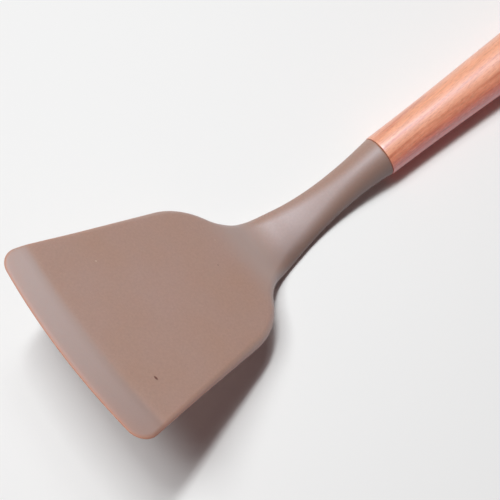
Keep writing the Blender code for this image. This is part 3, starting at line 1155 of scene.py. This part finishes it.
    def face_line(
        self,
        along: float,
        level: float,
    ) -> tuple[np.ndarray, np.ndarray, np.ndarray, np.ndarray]:
        """Find one face of the section, from the +Y outline round its edge to the middle.

        Args:
            along: Distance from the front edge.
            level: 1 for the top face, -1 for the bottom face.

        Returns:
            For each point its distance across, its height over the spine, how far it lies in from the
            outline, and how far it has come round the edge, from 0 to 1.
        """
        rest = max(self.corner - along, 0.0)
        straight = math.sqrt(self.corner ** 2 - rest ** 2)
        half_width = float(self.side_width(along)) - self.corner + straight
        stretch = self.widening(along)
        if along < self.corner:
            # At the front edge the corner's outline runs straight across, so its slant is kept finite
            least = self.least_slant_run * self.corner
            stretch = math.hypot(rest / max(straight, least), 1.0)
        over, under = self.edge_rounds(along)
        reach = min((over if level > 0.0 else under) * stretch, half_width)
        steps = np.linspace(0.0, math.pi / 2.0, self.edge_steps + 1)
        across = np.append(half_width - reach * (1.0 - np.cos(steps)), 0.0)
        inside = self.rim_distance(along, across)
        top, bottom = self.faces(along, across)
        low = np.minimum(under, (top - bottom) / 2.0)
        high = np.minimum(over, top - bottom - low)
        if level > 0.0:
            height = top - high * rounding_loss(inside, over)
        else:
            height = bottom + low * rounding_loss(inside, under)
        middle = (top + bottom + low - high) / 2.0
        across = np.insert(across, 0, half_width)
        height = np.insert(height, 0, middle[0])
        inside = np.insert(inside, 0, 0.0)
        return across, height, inside, np.concatenate([[0.0], steps / steps[-1], [1.0]])

    def section(self, along: float) -> tuple[np.ndarray, np.ndarray]:
        """Find the section at a distance from the front edge.

        Args:
            along: Distance from the front edge.

        Returns:
            Points as distance across and height over the spine, from the +Y side over the top, and
            how far each lies in from the outline.
        """
        places = (2.0 * np.arange(self.half_points) + 1.0) / self.half_points
        folded = np.minimum(places, 2.0 - places)
        side = np.where(places <= 1.0, 1.0, -1.0)
        halves = []
        for level in (1.0, -1.0):
            across, height, inside, turn = self.face_line(along, level)
            run = np.concatenate([[0.0], np.cumsum(np.hypot(np.diff(across), np.diff(height)))])
            marks = between(run / run[-1], turn, self.turn_share)
            spread = [np.interp(folded, marks, line) for line in (across, height, inside)]
            halves.append(np.stack([side * spread[0], spread[1], spread[2]], axis=1))
        ring = np.concatenate([halves[0], halves[1][::-1]])
        return ring[:, :2], ring[:, 2]

    def spine(self, along: float, slope: float) -> tuple[np.ndarray, np.ndarray]:
        """Find the middle line of the head, with the heel's front at X = 0.

        Args:
            along: Distance from the front edge.
            slope: Rise of the handle's axis for each metre along X.

        Returns:
            The point and its upward normal.
        """
        lift = self.heel_thickness / 2.0
        behind = along - self.length
        if behind <= 0.0:
            turn = min(-behind / self.bend_radius, self.tilt)
            straight = max(-behind - self.bend_radius * self.tilt, 0.0)
            x = -self.bend_radius * math.sin(turn) - straight * math.cos(self.tilt)
            z = lift + self.bend_radius * (1.0 - math.cos(turn)) + straight * math.sin(self.tilt)
            return np.array((x, 0.0, z)), np.array((math.sin(turn), 0.0, math.cos(turn)))
        run = self.neck_length - self.heel_flat
        t = min(max((behind - self.heel_flat) / run, 0.0), 1.0)
        # A cubic that starts level at the heel and ends with the slope of the handle's axis
        rise, end = self.seam_height - lift, slope * run
        z = lift + rise * t * t * (3.0 - 2.0 * t) + end * t * t * (t - 1.0)
        climb = (rise * 6.0 * t * (1.0 - t) + end * t * (3.0 * t - 2.0)) / run
        normal = np.array((-climb, 0.0, 1.0))
        return np.array((behind, 0.0, z)), normal / np.linalg.norm(normal)

    def stations(self) -> np.ndarray:
        """List where the mesh's rings stand.

        Returns:
            Their distances from the front edge.
        """
        rim = np.linspace(0.0, math.pi / 2.0, self.rim_rings + 1)
        # The rim's rings already stand closer than the corner's first ones would
        covered = 4
        corner = np.linspace(0.0, math.pi / 2.0, self.corner_rings + 1)[covered:]
        crease_end = self.bevel + self.crease_reach
        turn_start = self.shoulder - self.shoulder_reach
        last = self.seam - self.end_round
        places = [
            self.rim_round * (1.0 - np.cos(rim)),
            self.corner * (1.0 - np.cos(corner)),
            np.arange(self.corner, crease_end, self.bevel_ring),
            np.arange(crease_end, turn_start, self.blade_ring),
            np.arange(turn_start, last, self.neck_ring),
            [last],
        ]
        ordered = np.unique(np.concatenate(places))
        apart = np.concatenate([[True], np.diff(ordered) > self.least_ring])
        return ordered[apart]

    def mark(
        self,
        head: bpy.types.Object,
        along: np.ndarray,
        across: np.ndarray,
        depth: np.ndarray,
    ) -> None:
        """Mark the painted light on the slim rim, the painted sheen and the painted shade.

        Args:
            head: The head.
            along: Each point's distance from the front edge.
            across: Each point's distance from the middle, towards +Y.
            depth: How far each point lies in from the outline.
        """
        on_blade = 1.0 - ease(along / self.shoulder - self.glow_start)
        on_bevel = 1.0 - ease((along - self.bevel) / self.crease_round + 0.5)
        on_neck = ease((along - self.length + self.root_to_heel) / self.root_to_heel)
        before_heel = ease((along - self.shoulder) / self.root_to_heel) * (1.0 - on_neck)
        left = np.clip(0.5 + across / self.width, 0.0, 1.0)
        neck_right = np.clip(0.5 - across / (2.0 * self.seam_radius), 0.0, 1.0)
        # Painted rim light along the outline, painted sheen on the bevel and before the heel, and painted
        # shade on the neck's right side and the bevel's right corner
        painted_glow = np.exp(-self.glow_fall * depth / self.glow_width) * on_blade
        bloom_and_sheen = on_bevel * between(self.right_sheen, 1.0, left) + self.heel_sheen * before_heel
        painted_shade = on_neck * between(self.left_shade, 1.0, neck_right ** 2)
        painted_shade += on_bevel * self.corner_shade * (1.0 - left) ** 2
        for layer, part in ((PAINTED_GLOW_LAYER, painted_glow), (PAINTED_SHEEN_LAYER, bloom_and_sheen), (PAINTED_SHADE_LAYER, painted_shade)):
            marked = head.data.attributes.new(layer, "FLOAT", "POINT")
            marked.data.foreach_set("value", part.astype(np.float32))

    def model(self, heel: float, slope: float) -> bpy.types.Object:
        """Loft the head's skin through its rings, close it and mark it for its material.

        Args:
            heel: X of the heel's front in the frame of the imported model.
            slope: Rise of the handle's axis for each metre along X.

        Returns:
            The head.
        """
        stations = self.stations()
        rings, depths = [], []
        for along in stations.tolist():
            ring, inside = self.section(along)
            centre, up = self.spine(along, slope)
            forward = np.array((up[2], 0.0, -up[0]))
            points = centre + np.outer(ring[:, 0], (0.0, 1.0, 0.0)) + np.outer(ring[:, 1], up)
            points += np.outer(self.bowed(along, ring[:, 0]), forward)
            rings.append(points)
            depths.append(inside)
        _, up = self.spine(self.seam, slope)
        forward = np.array((up[2], 0.0, -up[0]))
        middle = rings[-1].mean(axis=0)
        shrink = 1.0 - self.end_round / self.seam_radius
        rings.append(middle + forward * self.end_round + (rings[-1] - middle) * shrink)
        depths.append(depths[-1])
        count = 2 * self.half_points
        faces = band_faces(len(rings), count)
        faces += [(k, k + 1, count - 2 - k, count - 1 - k) for k in range(self.half_points - 1)]
        last = (len(rings) - 1) * count
        faces.append(tuple(range(last, last + count)))
        points = np.concatenate(rings) + np.array((heel, 0.0, 0.0))
        head = new_piece("moulded_head", points, faces)
        along = np.repeat(np.append(stations, self.seam), count)
        self.mark(head, along, points[:, 1], np.concatenate(depths))
        return head

    def build(self, heel: float, slope: float) -> None:
        """Model the head and dress it in moulded silicone."""
        show(self.model(heel, slope), MouldedSilicone().material(), Node.HEAD)


@dataclass(frozen=True)
class Softbox:
    """A flat softbox that hangs over the table and faces the turner from its distance.

    Its lean is how far it hangs to the picture's right and top for each metre up, and its turn is in
    its own plane.
    """

    name: str
    lean: tuple[float, float]
    size: tuple[float, float]
    turn: float
    watts: float
    distance: float = 1.6


@dataclass(frozen=True)
class Studio:
    """The camera over a pale table, a strip softbox, a wide diffuser and a small card for the handle."""

    elevation: float = math.radians(72.05)
    azimuth: float = math.radians(38.457)
    distance: float = 512.4 * MM
    lens: float = 81.73
    aim: tuple[float, float, float] = (-80.77 * MM, 4.75 * MM, -1.33 * MM)
    strip: Softbox = Softbox("strip_softbox", (-0.07, 0.23), (0.12, 0.5), math.radians(-33.0), 11.2)
    diffuser: Softbox = Softbox("wide_diffuser", (-0.32, 0.07), (0.55, 0.5), 0.0, 10.85)
    card: Softbox = Softbox("handle_card", (0.08, 0.5), (0.35, 0.35), 0.0, 2.4)
    lamp_tone: str = "fbffff"
    fill: float = 0.091
    fill_tone: str = "ffd0d0"
    table_width: float = 4.0

    def view_axes(self) -> tuple[Vector, Vector, Vector]:
        """Find the picture's own directions.

        Returns:
            Directions to the right, up and ahead in the picture.
        """
        sin_e, cos_e = math.sin(self.elevation), math.cos(self.elevation)
        sin_a, cos_a = math.sin(self.azimuth), math.cos(self.azimuth)
        right = Vector((cos_a, -sin_a, 0.0))
        up = Vector((sin_a * sin_e, cos_a * sin_e, cos_e))
        ahead = Vector((sin_a * cos_e, cos_a * cos_e, -sin_e))
        return right, up, ahead

    def place_camera(self) -> None:
        """Set the camera that looks down on the turner from beside the blade."""
        right, up, ahead = self.view_axes()
        data = bpy.data.cameras.new("view")
        data.lens = self.lens
        camera = bpy.data.objects.new("view", data)
        turn = Matrix((right, up, -ahead)).transposed().to_4x4()
        camera.matrix_world = Matrix.Translation(Vector(self.aim) - ahead * self.distance) @ turn
        bpy.context.scene.collection.objects.link(camera)
        bpy.context.scene.camera = camera

    def lay_table(self) -> None:
        """Lay the table under the turner."""
        half, cells = self.table_width / 2.0, 8
        steps = np.linspace(-half, half, cells + 1)
        points = np.array([(x, y, 0.0) for x in steps for y in steps])
        faces = []
        for row in range(cells):
            for column in range(cells):
                k = row * (cells + 1) + column
                faces.append((k, k + cells + 1, k + cells + 2, k + 1))
        table = new_piece("tabletop", points, faces)
        table.data.materials.append(PaleTabletop().material())
        table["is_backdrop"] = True

    def hang_lamp(self, lamp: Softbox) -> None:
        """Hang a softbox over the turner, its width along the picture's.

        Args:
            lamp: The softbox.
        """
        right, _, _ = self.view_axes()
        upright = Vector((0.0, 0.0, 1.0))
        ahead = upright.cross(right)
        toward = (right * lamp.lean[0] + ahead * lamp.lean[1] + upright).normalized()
        across = (right * math.cos(lamp.turn) + ahead * math.sin(lamp.turn)).normalized()
        across = (across - toward * across.dot(toward)).normalized()
        data = bpy.data.lights.new(lamp.name, "AREA")
        data.shape = "RECTANGLE"
        data.size, data.size_y = lamp.size
        data.energy = lamp.watts
        data.color = linear(self.lamp_tone)[:3]
        hung = bpy.data.objects.new(lamp.name, data)
        axes = Matrix((across, toward.cross(across), toward)).transposed().to_4x4()
        hung.matrix_world = Matrix.Translation(Vector(self.aim) + toward * lamp.distance) @ axes
        bpy.context.scene.collection.objects.link(hung)

    def light_room(self) -> None:
        """Fill the room with even pale light."""
        world = bpy.data.worlds.new("room")
        world.use_nodes = True
        background = world.node_tree.nodes["Background"]
        background.inputs["Color"].default_value = linear(self.fill_tone)
        background.inputs["Strength"].default_value = self.fill
        bpy.context.scene.world = world

    def build(self) -> None:
        """Set up the camera, the table and the light."""
        self.place_camera()
        self.lay_table()
        for lamp in (self.strip, self.diffuser, self.card):
            self.hang_lamp(lamp)
        self.light_room()
        bpy.context.scene.view_settings.view_transform = "Standard"


def corners() -> list[list[float]]:
    """Lowest and highest corner of what is shown, as plain lists."""
    return [list(corner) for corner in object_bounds()]


def main() -> None:
    """Build the studio, the head and the handle, and dress the pieces inside them."""
    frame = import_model()
    Studio().build()
    LOG.info("studio built")
    head, handle = SiliconeHead(), BeechHandle()
    slope = handle.slope(head.seam_radius, head.seam_height)
    reach = handle.length / math.sqrt(1.0 + slope * slope)
    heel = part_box(Node.HANDLE.value)[1].x - head.neck_length - reach
    seam, _ = head.spine(head.seam, slope)
    axis = HandleAxis(Vector(seam) + Vector((heel, 0.0, 0.0)), slope)
    head.build(heel, slope)
    handle.build(axis, head.seam_radius)
    for node, finish in ((Node.CORE, MouldedNylon()), (Node.GLUE, CuredEpoxy())):
        frame["nodes"][node.value].data.materials[0] = finish.material()
        LOG.info("%s dressed", node.value)


if __name__ == "__main__":
    logging.basicConfig(level=logging.INFO, format="%(name)s: %(message)s")
    main()
